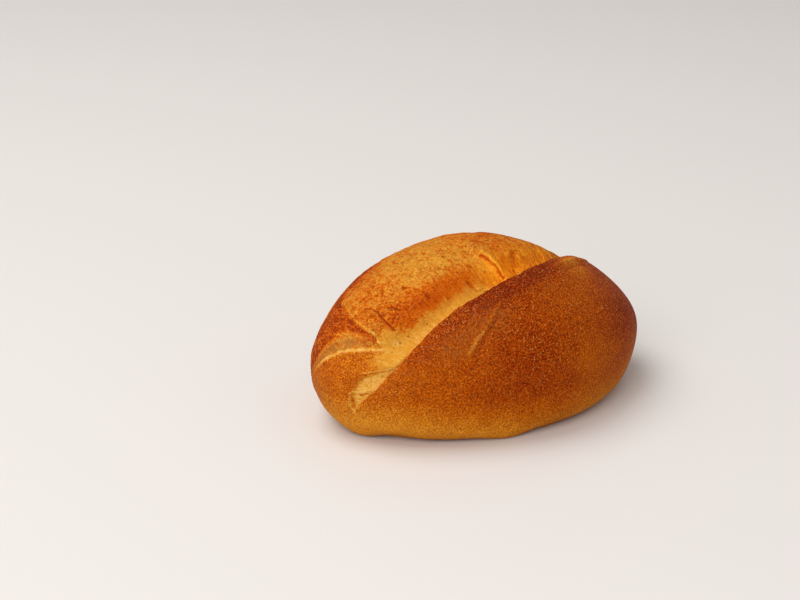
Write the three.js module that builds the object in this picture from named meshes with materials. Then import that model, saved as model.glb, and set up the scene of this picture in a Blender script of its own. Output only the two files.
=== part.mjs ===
// A scored bread roll, baked in one piece and modelled as one closed solid.
// Millimetres, +Z up. The roll lies along X and rests on Z = 0, under the middle of its outline.
// A place on the crust is named by two angles seen from the middle of the roll:
//   climb - 0 at the +X tip, 90 on top, 180 at the -X tip, below 0 or over 180 on the underside
//   side  - 0 in the lengthways middle plane, towards +Y positive, towards -Y negative

import * as THREE from 'three';
import { mergeVertices } from 'three/addons/utils/BufferGeometryUtils.js';

// ---- driving sizes -------------------------------------------------------------------------

// The plain body: a rounded spindle, blunter at +X, with a flattened underside.
const HALF_LENGTH = 62;
const HALF_WIDTH = 43.4;
const HEIGHT = 53.4;
const BELLY_HEIGHT = 17.9;      // height of the widest outline
const KEEL_DEPTH = 41;          // how far below the belly the underside would reach, if unflattened
const TIP_POWER = 1.77;         // 2 is an ellipse, less is more pointed at the tips
const WIDER_AT_PLUS_X = 0.05;   // share of the width gained at +X and lost at -X
const LOWER_AT_PLUS_X = 0.15;   // share of the height lost at +X and gained at -X
const MIDDLE_LEAN = 0.7;        // how far the middle bows towards +Y
const BASE_BLEND = 8.4;         // softness of the edge of the flat base

// The score: one cut from tip to tip, bowed towards -Y, that opened in the oven.
const SCORE_BOW = 35.6;         // degrees to the side at its widest
const SCORE_MIDDLE = 127;       // climb of that widest place, in degrees
const SCORE_TO_PLUS_X = { span: 68, power: 3 };     // how the bow dies out: over how many degrees
const SCORE_TO_MINUS_X = { span: 67, power: 3.8 };  // of climb, and how flat its middle is
const SCORE_NEAR_END = 193;     // climb where the cut runs out, below the -X tip
const SCORE_NEAR_FADE = 26;
const SCORE_FAR_END = 8;        // climb where it runs out at the +X tip
const SCORE_FAR_FADE = 35;
const CUT_DEPTH = 3.6;
const CUT_WALL = 1.3;           // width of the steep wall under the flap's edge
const CUT_FLOOR = 3.0;          // width of the wall and the floor
const CUT_SLOPE_END = 15;       // where the slope on the +Y side reaches the plain body
const FLAP_RISE = 1.3;          // the crust flap on the -Y side stands up towards its edge
const FLAP_REACH = 17;
const FLAP_CURL_RISE = 0.6;     // extra rise where the flap's edge curls up near the +X end
const FLAP_CURL_CLIMB = 57;
const FLAP_CURL_SPAN = 13;
const MM_PER_SIDE_DEGREE = 0.75;

// The end of the roll at -X keeps a tongue of smooth crust beside the cut, up to a ridge.
const TONGUE_RISE = 0.5;
const RIDGE_TURN_SIDE = -9;     // the ridge turns towards the tip from this side angle
const RIDGE_CLIMB = 160.3;      // its climb there
const RIDGE_SLOPE = 0.4;        // degrees of climb per degree of side
const RIDGE_TURN = 0.03;
const RIDGE_SOFTNESS = 4.5;     // in degrees of climb
const TONGUE_FADE_CLIMBS = [175, 215];
const TONGUE_FADE_SIDES = [5, 30];

// A shallow patch is torn off the tongue, beside the flap's edge.
const PATCH_WIDTH = 7;
const PATCH_DEPTH = 1.5;
const PATCH_SOFTNESS = 1.4;
const PATCH_START_CLIMBS = [160, 171];
const PATCH_END_CLIMBS = [174, 196];

// Folds across the torn crumb on the +Y side of the cut, and one shallow crease on the flap.
// Each is a step: the crest is on the +X side of its line and the groove on the -X side.
const FOLDS = [
  { start: [144, 14], end: [151.5, -21], crest: 0.9, groove: 0.7, crestWidth: 4, grooveWidth: 3.2 },
  { start: [96, -9], end: [92, -28], crest: 1.1, groove: 0.8, crestWidth: 5, grooveWidth: 5 },
];
const FOLD_STEP_WIDTH = 1.2;
const FOLD_END_FADE = 4;
const CREASE = { start: [111, -43.5], end: [143, -54], depth: 0.3, width: 1.2 };

// Hand shaping: places where the crust stands off the plain body, or sinks below it.
const SWELLS = [
  { climb: 88, side: 8, reach: 18, height: 2.0 },
  { climb: 120, side: 20, reach: 22, height: 0.7 },
  { climb: 70, side: 0, reach: 12, height: 0.5 },
  { climb: 15, side: -30, reach: 22, height: 0.65 },
  { climb: 176, side: 24, reach: 12, height: 0.7 },
  { climb: 246, side: -57, reach: 8, height: 1.2 },
  { climb: 208, side: -9, reach: 9, height: 1.3 },
  { climb: 213, side: -25, reach: 8, height: -1.0 },
  { climb: 272, side: -61, reach: 11, height: -0.8 },
  { climb: 158, side: -1, reach: 7, height: -0.8 },
];
const BASE_CALM_HEIGHT = 1.2;   // the swells die out from this height down to the flat base

// The facets: a cube's grid blown up into the roll, drawn together along the score.
const GRID_STEPS = 28;
const GRID_PINCH = 0.5;
const GRID_PINCH_WIDTH = 13;    // degrees to each side of the score

const CRUST_COLOUR = new THREE.Color(0.56, 0.25, 0.08);
const CRUST_ROUGHNESS = 0.6;

// ---- small helpers -------------------------------------------------------------------------

const radians = THREE.MathUtils.degToRad;
const degrees = THREE.MathUtils.radToDeg;
const { lerp, smoothstep } = THREE.MathUtils;

/** A bell from 1 at zero to 0 far away. */
function bell(distance, width) {
  return Math.exp(-((distance / width) ** 2));
}

/** The larger of two values, with a rounded corner between them. */
function softMaximum(a, b, softness) {
  const share = THREE.MathUtils.clamp(0.5 + (0.5 * (a - b)) / softness, 0, 1);
  return lerp(b, a, share) + softness * share * (1 - share);
}

/** Climb in degrees, counted from -90 up to 270, so that the score has no jump. */
function climbOf(direction) {
  const climb = degrees(Math.atan2(direction.z, direction.x));
  return climb < -90 ? climb + 360 : climb;
}

function sideOf(direction) {
  return degrees(Math.asin(THREE.MathUtils.clamp(direction.y, -1, 1)));
}

function directionAt(climb, side) {
  const level = Math.cos(radians(side));
  return new THREE.Vector3(
    level * Math.cos(radians(climb)),
    Math.sin(radians(side)),
    level * Math.sin(radians(climb)),
  );
}

// ---- the plain body ------------------------------------------------------------------------

/** The point of the plain body that lies in a direction, seen from the middle of the roll. */
function bodyPoint(direction) {
  const section = Math.hypot(direction.y, direction.z);
  const size = (Math.abs(direction.x) ** TIP_POWER + section ** TIP_POWER) ** (1 / TIP_POWER);
  const along = direction.x / size;
  const across = direction.y / size;
  const up = direction.z / size;
  const x = HALF_LENGTH * along;
  const y = HALF_WIDTH * across * (1 + WIDER_AT_PLUS_X * along) + MIDDLE_LEAN * (1 - along ** 2);
  const crown = (HEIGHT - BELLY_HEIGHT) * up * (1 - LOWER_AT_PLUS_X * along);
  const keel = softMaximum(KEEL_DEPTH * up, -BELLY_HEIGHT, BASE_BLEND);
  return new THREE.Vector3(x, y, BELLY_HEIGHT + (up > 0 ? crown : keel));
}

// ---- the relief: how far the crust stands off the plain body --------------------------------

/** Side angle of the score at a climb. */
function scoreSide(climb) {
  const { span, power } = climb > SCORE_MIDDLE ? SCORE_TO_MINUS_X : SCORE_TO_PLUS_X;
  return -SCORE_BOW * Math.exp(-(Math.abs((climb - SCORE_MIDDLE) / span) ** power));
}

/** 1 along most of the score, 0 past its two ends. */
function scoreStrength(climb) {
  const nearEnd = 1 - smoothstep(climb, SCORE_NEAR_END - SCORE_NEAR_FADE, SCORE_NEAR_END);
  const farEnd = smoothstep(climb, SCORE_FAR_END, SCORE_FAR_END + SCORE_FAR_FADE);
  return nearEnd * farEnd;
}

/** Distance across the score in millimetres; the flap is on the negative side. */
function acrossScore(climb, side) {
  return (side - scoreSide(climb)) * MM_PER_SIDE_DEGREE;
}

/** 0 on the flap and 1 past the steep wall under its edge. */
function pastWall(across) {
  return smoothstep(across, 0, CUT_WALL);
}

/** The crust flap on the -Y side of the score: it rises to its edge, where the wall drops. */
function flapRelief(climb, across) {
  const curl = FLAP_CURL_RISE * bell(climb - FLAP_CURL_CLIMB, FLAP_CURL_SPAN);
  return (FLAP_RISE + curl) * smoothstep(across, -FLAP_REACH, 0) * (1 - pastWall(across));
}

/** The opened cut on the +Y side of the flap's edge: a steep wall, a floor and a long slope. */
function cutRelief(across) {
  return -CUT_DEPTH * pastWall(across) * (1 - smoothstep(across, CUT_FLOOR, CUT_SLOPE_END));
}

/** Climb of the ridge along the tongue's top edge, at a side angle. */
function ridgeClimb(side) {
  const past = side - RIDGE_TURN_SIDE;
  return RIDGE_CLIMB + RIDGE_SLOPE * past + RIDGE_TURN * Math.max(0, past) ** 2;
}

/** 1 on the tongue of smooth crust at the -X end, 0 off it. */
function onTongue(climb, side, across) {
  const ridge = ridgeClimb(side);
  return pastWall(across) * smoothstep(climb, ridge - RIDGE_SOFTNESS, ridge + RIDGE_SOFTNESS);
}

/** 1 on the patch torn off the tongue, 0 off it. */
function onPatch(climb, across) {
  const start = smoothstep(climb, ...PATCH_START_CLIMBS);
  const end = 1 - smoothstep(climb, ...PATCH_END_CLIMBS);
  const width = lerp(-PATCH_SOFTNESS, PATCH_WIDTH, start * end);
  return pastWall(across) * (1 - smoothstep(across, width - PATCH_SOFTNESS, width + PATCH_SOFTNESS));
}

/** The tongue stands a little proud and the patch lies a little deep. */
function endRelief(climb, side, across) {
  const under = 1 - smoothstep(climb, ...TONGUE_FADE_CLIMBS);
  const farSide = 1 - smoothstep(side, ...TONGUE_FADE_SIDES);
  const tongue = TONGUE_RISE * onTongue(climb, side, across) * under * farSide;
  return tongue - PATCH_DEPTH * onPatch(climb, across);
}

/** Where a point lies against a straight stretch of crust: how far along, past and beside it. */
function againstLine(point, line) {
  const start = bodyPoint(directionAt(...line.start));
  const run = bodyPoint(directionAt(...line.end)).sub(start);
  const offset = point.clone().sub(start);
  const share = offset.dot(run) / run.lengthSq();
  const foot = start.clone().addScaledVector(run, THREE.MathUtils.clamp(share, 0, 1));
  const past = Math.max(0, -share, share - 1) * run.length();
  const beside = point.clone().sub(foot);
  return { past, distance: beside.length(), towardsPlusX: beside.x >= 0 ? 1 : -1 };
}

/** A fold across the torn crumb: a crest, a short step down, and a groove. */
function oneFoldRelief(point, fold) {
  const { past, distance, towardsPlusX } = againstLine(point, fold);
  const ends = bell(past, FOLD_END_FADE);
  const step = smoothstep(distance, 0, FOLD_STEP_WIDTH);
  const crest = fold.crest * bell(distance, fold.crestWidth);
  const groove = -fold.groove * bell(distance, fold.grooveWidth);
  return ends * step * (towardsPlusX > 0 ? crest : groove);
}

/** All the folds, which stop at the floor of the cut. */
function foldRelief(point, across) {
  const onCrumb = smoothstep(across, 0, CUT_FLOOR);
  return onCrumb * FOLDS.reduce((sum, fold) => sum + oneFoldRelief(point, fold), 0);
}

/** The shallow crease on the flap. */
function creaseRelief(point) {
  const { distance } = againstLine(point, CREASE);
  return -CREASE.depth * bell(distance, CREASE.width);
}

/** The low swells of hand shaping, calm at the flat base. */
function handShaping(direction, point) {
  const calm = smoothstep(point.z, 0, BASE_CALM_HEIGHT);
  let height = 0;
  for (const swell of SWELLS) {
    const away = degrees(direction.angleTo(directionAt(swell.climb, swell.side)));
    height += swell.height * bell(away, swell.reach);
  }
  return calm * height;
}

/** How far the crust stands off the plain body at one place. */
function relief(direction, point) {
  const climb = climbOf(direction);
  const side = sideOf(direction);
  const across = acrossScore(climb, side);
  const cut = cutRelief(across) * (1 - onTongue(climb, side, across));
  const score = scoreStrength(climb) * (flapRelief(climb, across) + cut);
  const crumb = endRelief(climb, side, across) + foldRelief(point, across);
  return score + crumb + creaseRelief(point) + handShaping(direction, point);
}

// ---- the faceted solid ---------------------------------------------------------------------

/** Turns a cube's grid point into a direction, with grid lines that follow the score. */
function gridDirection(cubePoint) {
  const evenAngle = (value) => Math.tan((value * Math.PI) / 4);
  const even = new THREE.Vector3(evenAngle(cubePoint.x), evenAngle(cubePoint.y), evenAngle(cubePoint.z));
  even.normalize();
  const climb = climbOf(even);
  const side = sideOf(even);
  const pinched = side * (1 - GRID_PINCH * bell(side, GRID_PINCH_WIDTH));
  const follow = Math.cos(radians(side)) ** 2;
  return directionAt(climb, pinched + follow * scoreSide(climb));
}

/** Moves the roll sideways until the origin is under the middle of its outline. */
function centreOnOutline(geometry) {
  geometry.computeBoundingBox();
  const middle = geometry.boundingBox.getCenter(new THREE.Vector3());
  geometry.translate(-middle.x, -middle.y, 0);
}

function rollGeometry() {
  const cube = new THREE.BoxGeometry(2, 2, 2, GRID_STEPS, GRID_STEPS, GRID_STEPS);
  cube.deleteAttribute('normal');
  cube.deleteAttribute('uv');
  const geometry = mergeVertices(cube);
  const corners = geometry.attributes.position;
  const directions = [];
  const point = new THREE.Vector3();
  for (let i = 0; i < corners.count; i += 1) {
    directions.push(gridDirection(point.fromBufferAttribute(corners, i)));
    corners.setXYZ(i, ...bodyPoint(directions[i]));
  }
  geometry.computeVertexNormals();
  const outward = new THREE.Vector3();
  for (let i = 0; i < corners.count; i += 1) {
    point.fromBufferAttribute(corners, i);
    outward.fromBufferAttribute(geometry.attributes.normal, i);
    point.addScaledVector(outward, relief(directions[i], point));
    corners.setXYZ(i, point.x, point.y, Math.max(point.z, 0));
  }
  geometry.deleteAttribute('normal');
  centreOnOutline(geometry);
  return geometry;
}

function crustMaterial() {
  return new THREE.MeshStandardMaterial({
    color: CRUST_COLOUR,
    roughness: CRUST_ROUGHNESS,
    metalness: 0,
  });
}

function makeRoll() {
  const roll = new THREE.Mesh(rollGeometry(), crustMaterial());
  roll.name = 'roll';
  return roll;
}

const model = new THREE.Group();
model.add(makeRoll());

export default model;
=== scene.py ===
"""A scored bread roll with a browned crust, opened along its top, on a pale floor.

The roll is one closed mesh, worked out in millimetres and then scaled to metres. A place on the
crust is named by two angles seen from the middle of the roll, as on the solid it stands for:
climb is 0 at the +X tip, 90 on top and 180 at the -X tip, and side is positive towards +Y.
Across the score, distances are in millimetres: negative on the flap, positive on the torn crumb.
"""

import math
from typing import NamedTuple

import bpy
import numpy as np
from mathutils import Euler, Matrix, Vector, noise


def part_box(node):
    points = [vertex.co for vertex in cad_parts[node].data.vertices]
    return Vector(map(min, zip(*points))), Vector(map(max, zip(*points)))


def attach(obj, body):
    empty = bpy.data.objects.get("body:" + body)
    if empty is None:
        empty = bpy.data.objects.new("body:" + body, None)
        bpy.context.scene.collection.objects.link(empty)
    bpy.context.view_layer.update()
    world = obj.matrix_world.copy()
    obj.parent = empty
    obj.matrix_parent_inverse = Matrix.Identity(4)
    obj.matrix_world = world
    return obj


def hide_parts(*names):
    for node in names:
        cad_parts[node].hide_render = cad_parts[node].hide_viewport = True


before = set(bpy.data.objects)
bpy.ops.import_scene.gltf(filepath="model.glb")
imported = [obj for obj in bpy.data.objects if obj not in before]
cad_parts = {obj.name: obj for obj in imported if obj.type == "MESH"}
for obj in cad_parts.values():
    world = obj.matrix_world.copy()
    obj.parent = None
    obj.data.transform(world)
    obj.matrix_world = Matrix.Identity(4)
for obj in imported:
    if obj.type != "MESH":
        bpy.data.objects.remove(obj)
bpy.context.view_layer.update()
MM = 0.001

# ---- the plain body: the same sizes as the solid ---------------------------------------------

HALF_LENGTH = 62
HALF_WIDTH = 43.4
HEIGHT = 53.4
BELLY_HEIGHT = 17.9
KEEL_DEPTH = 41
TIP_POWER = 1.77
WIDER_AT_PLUS_X = 0.05
LOWER_AT_PLUS_X = 0.15
MIDDLE_LEAN = 0.7
BASE_BLEND = 8.4

# ---- the score -------------------------------------------------------------------------------

SCORE_BOW = 35.6
SCORE_MIDDLE = 127
SCORE_SPAN_TO_PLUS_X = 68
SCORE_POWER_TO_PLUS_X = 3
SCORE_SPAN_TO_MINUS_X = 67
SCORE_POWER_TO_MINUS_X = 3.8
SCORE_NEAR_END = 193
SCORE_FAR_END = 8
SCORE_NEAR_FADE = 26
SCORE_FAR_FADE = 35
CUT_DEPTH = 3.6
CUT_WALL = 0.8
CUT_FLOOR = 2.6
CUT_SLOPE_END = 15
FLAP_RISE = 1.3
FLAP_REACH = 17
FLAP_CURL_RISE = 0.6
FLAP_CURL_CLIMB = 57
FLAP_CURL_SPAN = 13
MM_PER_SIDE_DEGREE = 0.75
MM_PER_CLIMB_DEGREE = 0.9
LIP_RAGGED = [(0.5, 7, 1), (0.35, 1.6, 14)]  # layers: degrees off the smooth line, length, seed

# ---- the -X end: a tongue of smooth crust, and a shallow pale patch beside the flap -----------

TONGUE_RISE = 0.5
TONGUE_EDGE = 1.6         # softness of its top edge, in degrees of climb
TONGUE_EDGE_AT_SCORE = 7
TONGUE_FADE_CLIMBS = (175, 215)
TONGUE_FADE_SIDES = (5, 30)
FIRM_ACROSS = (3, 12)     # millimetres from the score over which its edge and ridge get firm
RIDGE_TURN_SIDE = -9      # the ridge along its top edge turns towards the tip from this side angle
RIDGE_CLIMB = 161.3       # and has this climb there
RIDGE_SLOPE = 0.4         # degrees of climb per degree of side
RIDGE_TURN = 0.03
RIDGE_RISE = 0.5
RIDGE_WIDTH = 1.6
PATCH_WIDTH = 7
PATCH_DEPTH = 1.3
PATCH_SOFTNESS = 1.4
PATCH_START_CLIMBS = (158, 173)
PATCH_END_CLIMBS = (174, 196)

# ---- folds and creases -----------------------------------------------------------------------

FOLDS = [
    {"start": (145, 14), "end": (152.5, -21), "crest": 0.9, "groove": 0.7, "widths": (4, 3.2)},
    {"start": (97, -9), "end": (93, -28), "crest": 1.1, "groove": 0.8, "widths": (5, 5)},
]
FOLD_STEP_WIDTH = 1.2
FOLD_END_FADE = 4
FINEST_RELIEF = 0.8       # millimetres, the thinnest line that the mesh can hold


class Stroke(NamedTuple):
    """A thin line on the crust: a wrinkle, a crease or the edge of a tear."""

    line: tuple       # places, as climb and side
    width: float      # millimetres
    tone: float       # how much browner it is than the crust beside it, or paler if negative
    rise: float       # millimetres, a groove if negative


STROKES = [
    # the fold beside the tongue: its torn edge, brighter at the score, and the browner groove under it,
    # partly a painted shadow
    Stroke(((144.2, 14), (146, 6.5), (147.8, -3), (149.5, -15), (153, -20.5)), 0.4, -0.16, 0.2),
    Stroke(((149.3, -13), (150, -17), (153, -20.5)), 0.4, -0.25, 0.1),
    Stroke(((148.6, 3), (149.6, -3), (151, -15), (154.4, -21)), 0.6, 0.2, -0.2),
    # the edge of the pale hollow below it
    Stroke(((155, -2), (153.5, -7), (153, -13), (154, -19)), 0.5, -0.12, 0.15),
    # the fold near the top, and a smaller one beside it: pale crests, and browner lines beside them
    # that are partly painted shadow
    Stroke(((95.2, -10), (93.7, -16), (92.6, -22)), 0.6, -0.2, 0.2),
    Stroke(((96.1, -12.5), (94.2, -19), (92.9, -25.5)), 0.35, 0.55, -0.25),
    Stroke(((82.3, -12), (86, -22), (92.1, -31.4)), 1.1, 0.22, -0.2),
    # wrinkles on the crumb, their darker lines partly painted shade in the creases
    Stroke(((142.2, -2.5), (140.5, -5.5), (140.8, -9.7), (143.2, -17.3), (144.4, -22)), 0.4, 0.4, -0.5),
    Stroke(((137.2, -12.5), (135.6, -14.5), (135.8, -17.5)), 0.4, 0.4, -0.4),
    Stroke(((126.3, -9.5), (125, -12), (124.2, -15)), 0.5, 0.35, -0.4),
    Stroke(((107, -23.5), (106.3, -28.7)), 0.6, 0.3, -0.4),
    # the crease on the flap: a pale bank and the shade beside it
    Stroke(((106, -42), (116.8, -47.2), (123.4, -49.8), (142.4, -53.3)), 0.6, -0.22, 0.15),
    Stroke(((125, -50.2), (131, -51.6), (140, -53.1)), 0.9, -0.16, 0.1),
    Stroke(((106, -43.6), (115.5, -49), (126, -52.8), (142, -56)), 0.7, 0.1, -0.35),
    # the thin rim where the flap's edge curls up, and the shade under it
    Stroke(((46, -8.5), (56, -14), (66, -21.5), (74, -27)), 0.9, -0.22, 0.5),
    Stroke(((50, -15), (56, -19), (66, -26)), 0.6, 0.15, -0.4),
    # the patch beside the flap's end: torn edges, the rim of its lower half, and darker lines in it
    # that paint the shade in its pores
    Stroke(((162.5, -32), (165.3, -27), (168.6, -20)), 0.35, -0.5, 0),
    Stroke(((178.7, -16.3), (178.8, -19), (176.8, -23.5)), 0.35, -0.3, 0.4),
    Stroke(((179, -15.8), (183.2, -14.9), (186, -15.2), (190.4, -16.7)), 0.4, -0.45, 0.3),
    Stroke(((180.2, -19.5), (179.9, -21), (178.7, -23)), 0.4, 0.6, -0.3),
    Stroke(((182, -16.4), (185, -16.6), (187, -17)), 0.35, 0.3, -0.2),
]

# ---- swells and dents: climb, side, reach in degrees, height in millimetres -------------------

SWELLS = [
    (88, 8, 18, 2.0),
    (120, 20, 22, 0.7),
    (70, 0, 12, 0.5),
    (15, -30, 22, 0.65),
    (176, 24, 12, 0.7),
    (246, -57, 8, 1.2),
    (208, -9, 9, 1.3),
    (213, -25, 8, -1.0),
    (272, -61, 11, -0.8),
    (158, -1, 7, -0.8),
]
BASE_CALM_HEIGHT = 1.2    # the fine shapes fade in up to this height, so the underside is flat

# Layers of fine relief: height, size of the lumps, seed.
CRUMB_RELIEF = [(0.4, 11, 2), (0.25, 4.5, 3), (0.12, 2, 4)]
CRUST_RELIEF = [(0.25, 19, 5), (0.06, 6, 6)]

# ---- the torn crumb --------------------------------------------------------------------------

# Its far edge.
FAR_EDGE_CLIMBS = (2, 8, 20, 35, 55, 85, 110, 127, 142, 158, 168, 176, 183, 190)
FAR_EDGE_SIDES = (-60, -3, 8, 20, 36, 46, 41, 34, 30, 28, 24, 18, 12, -60)
FAR_EDGE_WAVER = [(3.5, 12, 7)]
FAR_EDGE_SOFTNESS = 1.5
FAR_EDGE_SHADE = 9        # degrees over which the colours change towards it, on both sides
FAR_EDGE_RISE = 0.5
FAR_EDGE_RISE_WIDTH = 2

# The pale crumb that runs out over the tongue beside the score.
FRESH_START_CLIMBS = (143, 151)
FRESH_END_CLIMBS = (160, 170)
FRESH_FULL_ACROSS = 3
FRESH_FADE = 5.5

# The redder crumb between the middle fold and the tongue's ridge.
RED_TOP_CLIMB = 147.5
RED_TOP_SLOPE = -0.2
RED_TOP_EDGE = (-0.5, 2)
RED_LOW_CLIMB = 153.3
RED_LOW_TURN_SIDE = -4
RED_LOW_TURN = 0.09
RED_LOW_SOFTNESS = 2
RED_SIDES = (-24, -18)

# The pale strip along the flap's edge.
STRIP_CLIMBS = (20, 80, 94, 105, 138, 149, 158, 164)
STRIP_WIDTHS = (0.8, 1.2, 2.0, 6.0, 6.0, 9.5, 9.5, 3.0)
STRIP_WAVER = [(0.25, 6, 8)]
STRIP_SOFTNESS = 2.2


class Zone(NamedTuple):
    """A soft-edged part of the torn crumb, and how much browner it is."""

    browner: float
    climbs: tuple     # from, to, and the softness of both ends
    across: tuple     # millimetres from the score where it starts and where it is full


# ---- how brown the crust and the crumb are ---------------------------------------------------

# Spots are round and soft: climb, side, reach in degrees, and how much browner at the middle.
# Patches are layers of noise: how much browner at most, size in millimetres, seed.
CRUST_LEVEL = 0.45
CRUST_MIDDLE_BROWNER = 0.43
CRUST_MIDDLE_X = (-65, 0)
LOW_PALER = [(0.62, 1, 20), (0.12, 0, 8)]    # by how much, in full below a height, up to another
LIP_BROWNER = [(0.36, (72, 118, 20)), (0.18, (128, 158, 12))]
LIP_BROWN_ACROSS = -3
LIP_BROWN_FADE = 3
CRUST_SPOTS = [
    (68, -42, 20, -0.2),
    (60, -20, 10, -0.45),
    (25, -72, 14, -0.3),
    (18, -40, 14, 0.1),
    (182, 0, 12, 0.07),
    (0, -42, 14, -0.25),
    (-19, -69, 16, -0.08),
]
CRUST_PATCHES = [(0.06, 22, 9), (0.04, 8, 10)]
TONGUE_PALER = 0.3
FAR_CRUST_PALER = 0.14
UNDERSIDE_LEVEL = 0.35
UNDERSIDE_PATCHES = [(0.2, 17, 11)]
UNDERSIDE_HEIGHTS = (0.2, 2.5)

CRUMB_LEVEL = 0.505
CRUMB_PATCHES = [(0.12, 14, 12), (0.06, 5, 13)]
CRUMB_ZONES = [
    Zone(0.12, (60, 98, 14), (18, 30)),
    Zone(-0.12, (95, 126, 20), (12, 22)),
]
CRUMB_SPOTS = [
    (88, -2, 9, 0.1),
    (88, -17, 4, 0.15),
    (98, -18, 6, -0.25),
]
FOLDED_BROWNER = 0.06
FOLDED_CLIMBS = (122, 148, 10)
BLOTCHY_PATCHES = [(0.22, 3.5, 16)]
BLOTCHY_CLIMBS = (52, 91, 10)
BACK_PATCHES = [(0.12, 24, 15)]
BACK_ACROSS = (20, 32)
BACK_BROWNER = 0.25
BACK_SIDES = (15, 24)
BACK_CLIMBS = (118, 156, 8)
FAR_CRUMB_BROWNER = 0.2
BAND_BROWNER = 0.28       # the orange-brown band beyond the pale strip
BAND_ACROSS = 11
BAND_WIDTH = 4
BAND_CLIMBS = (98, 144, 12)
STRIP_LEVEL = 0.25
STRIP_PALER = 0.1
STRIP_PALER_CLIMBS = (112, 142)
RED_BROWNER = 0.35
FRESH_LEVEL = 0.18
PATCH_LEVEL = 0.03
PATCH_PALE_EDGE = (-1.5, 2)

# ---- where the crust and the crumb glow, are tan or have a painted sheen, painted glints, grain or pores ---

GLOW_ACROSS = 7
GLOW_WIDTH = 6.5
GLOW_CLIMBS = (58, 101, 14)
HOLLOW_START = (-11, -5)  # the tan hollow above the tongue, in degrees past the ridge
HOLLOW_END = (-3, 0)
HOLLOW_SIDES = (-20, -12)
HOLLOW_LESS_IN_RED = 0.7
SHEEN_BAND_SHARE = 0.4      # the dull band on the flap, a painted sheen
SHEEN_BAND_ACROSS = -9
SHEEN_BAND_WIDTH = 5
SHEEN_BAND_CLIMBS = (104, 150, 16)
TAN_SPOTS = [(182, 8, 10, 0.5)]
MOST_SPECKLE_AND_GLINT = 0.68         # how much of the pale specks and painted glints most of the crust has, against 1 beside the flap's edge
SPECKLE_AND_GLINT_EDGE_ACROSS = (-14, -3)
SPECKLE_AND_GLINT_EDGE_CLIMBS = (36, 150, 24)
SPECKLE_AND_GLINT_TOP_SHARE = 0.95
SPECKLE_AND_GLINT_TOP_ACROSS = (-50, -30)
SPECKLE_AND_GLINT_TOP_CLIMBS = (0, 116, 24)
LESS_SPECKLE_AND_GLINT_LOW = 0.12
LESS_SPECKLE_AND_GLINT_HEIGHTS = (3, 20)
DRAWN_ACROSS = 8          # the crumb that is drawn out smooth beside the strip
DRAWN_WIDTH = 5
DRAWN_CLIMBS = (85, 135, 16)
DRAWN_SMOOTH = 0.6
STRIP_SMOOTH = 0.7
FRESH_SMOOTH = 0.6
PATCH_SMOOTH = 0.5
RED_ROUGHER = 0.3
FEWEST_PORES = 0.3
PORE_SPOTS = [(157, -1, 6, 1), (144.5, -7, 4, 1), (148.5, -25, 4, 1), (92, -4, 9, 1), (178, -21, 3, 1)]

# ---- the mesh --------------------------------------------------------------------------------

GRID_STEPS = (200, 110, 80)
GRID_RAISED = 0.27        # draws the grid towards the top, which has the finer relief
GRID_PINCH = 0.5
GRID_PINCH_WIDTH = 13
ATLAS_GAP = 0.004
UNDERSIDE_AWAY = 50       # millimetres that keep the thin lines off the underside
UNDERSIDE_AWAY_HEIGHTS = (1, 4)
SEED_SHIFT = np.array([17.3, 5.1, 11.9])


# ---- small helpers ---------------------------------------------------------------------------

def smoothstep(value, low, high):
    """0 below low, 1 above high, and a smooth rise between them."""
    share = np.clip((value - low) / (high - low), 0, 1)
    return share * share * (3 - 2 * share)


def between(value, low, high, softness):
    """1 between low and high, 0 outside them."""
    rise = smoothstep(value, low - softness / 2, low + softness / 2)
    return rise * (1 - smoothstep(value, high - softness / 2, high + softness / 2))


def bell(distance, width):
    """A bell from 1 at zero to 0 far away."""
    return np.exp(-((distance / width) ** 2))


def soft_maximum(a, b, softness):
    """The larger of two values, with a rounded corner between them."""
    share = np.clip(0.5 + 0.5 * (a - b) / softness, 0, 1)
    return b + (a - b) * share + softness * share * (1 - share)


def unit(vectors):
    return vectors / np.linalg.norm(vectors, axis=-1, keepdims=True)


def direction_at(climb, side):
    climb, side = np.radians(climb), np.radians(side)
    level = np.cos(side)
    return np.stack([level * np.cos(climb), np.sin(side), level * np.sin(climb)], axis=-1)


def climb_and_side(directions):
    """The two angles in degrees, climb counted from -90 up to 270."""
    climb = np.degrees(np.arctan2(directions[:, 2], directions[:, 0]))
    climb = np.where(climb < -90, climb + 360, climb)
    side = np.degrees(np.arcsin(np.clip(directions[:, 1], -1, 1)))
    return climb, side


def lumps(points, size, seed):
    """Smooth noise between about -1 and 1, with lumps of this size in millimetres."""
    places = points / size + seed * SEED_SHIFT
    return np.array([noise.noise(place) for place in places.tolist()])


def layered(points, layers):
    """The sum of layers of smooth noise, each with its strength, size and seed."""
    total = 0
    for strength, size, seed in layers:
        total = total + strength * lumps(points, size, seed)
    return total


# ---- the form --------------------------------------------------------------------------------

def body_points(directions):
    """The points of the plain body that lie in these directions."""
    section = np.hypot(directions[:, 1], directions[:, 2])
    size = (np.abs(directions[:, 0]) ** TIP_POWER + section**TIP_POWER) ** (1 / TIP_POWER)
    along, across, up = (directions / size[:, None]).T
    x = HALF_LENGTH * along
    y = HALF_WIDTH * across * (1 + WIDER_AT_PLUS_X * along) + MIDDLE_LEAN * (1 - along**2)
    crown = (HEIGHT - BELLY_HEIGHT) * up * (1 - LOWER_AT_PLUS_X * along)
    keel = soft_maximum(KEEL_DEPTH * up, -BELLY_HEIGHT, BASE_BLEND)
    return np.stack([x, y, BELLY_HEIGHT + np.where(up > 0, crown, keel)], axis=-1)


def body_point(place):
    return body_points(direction_at(*place)[None])[0]


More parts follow.
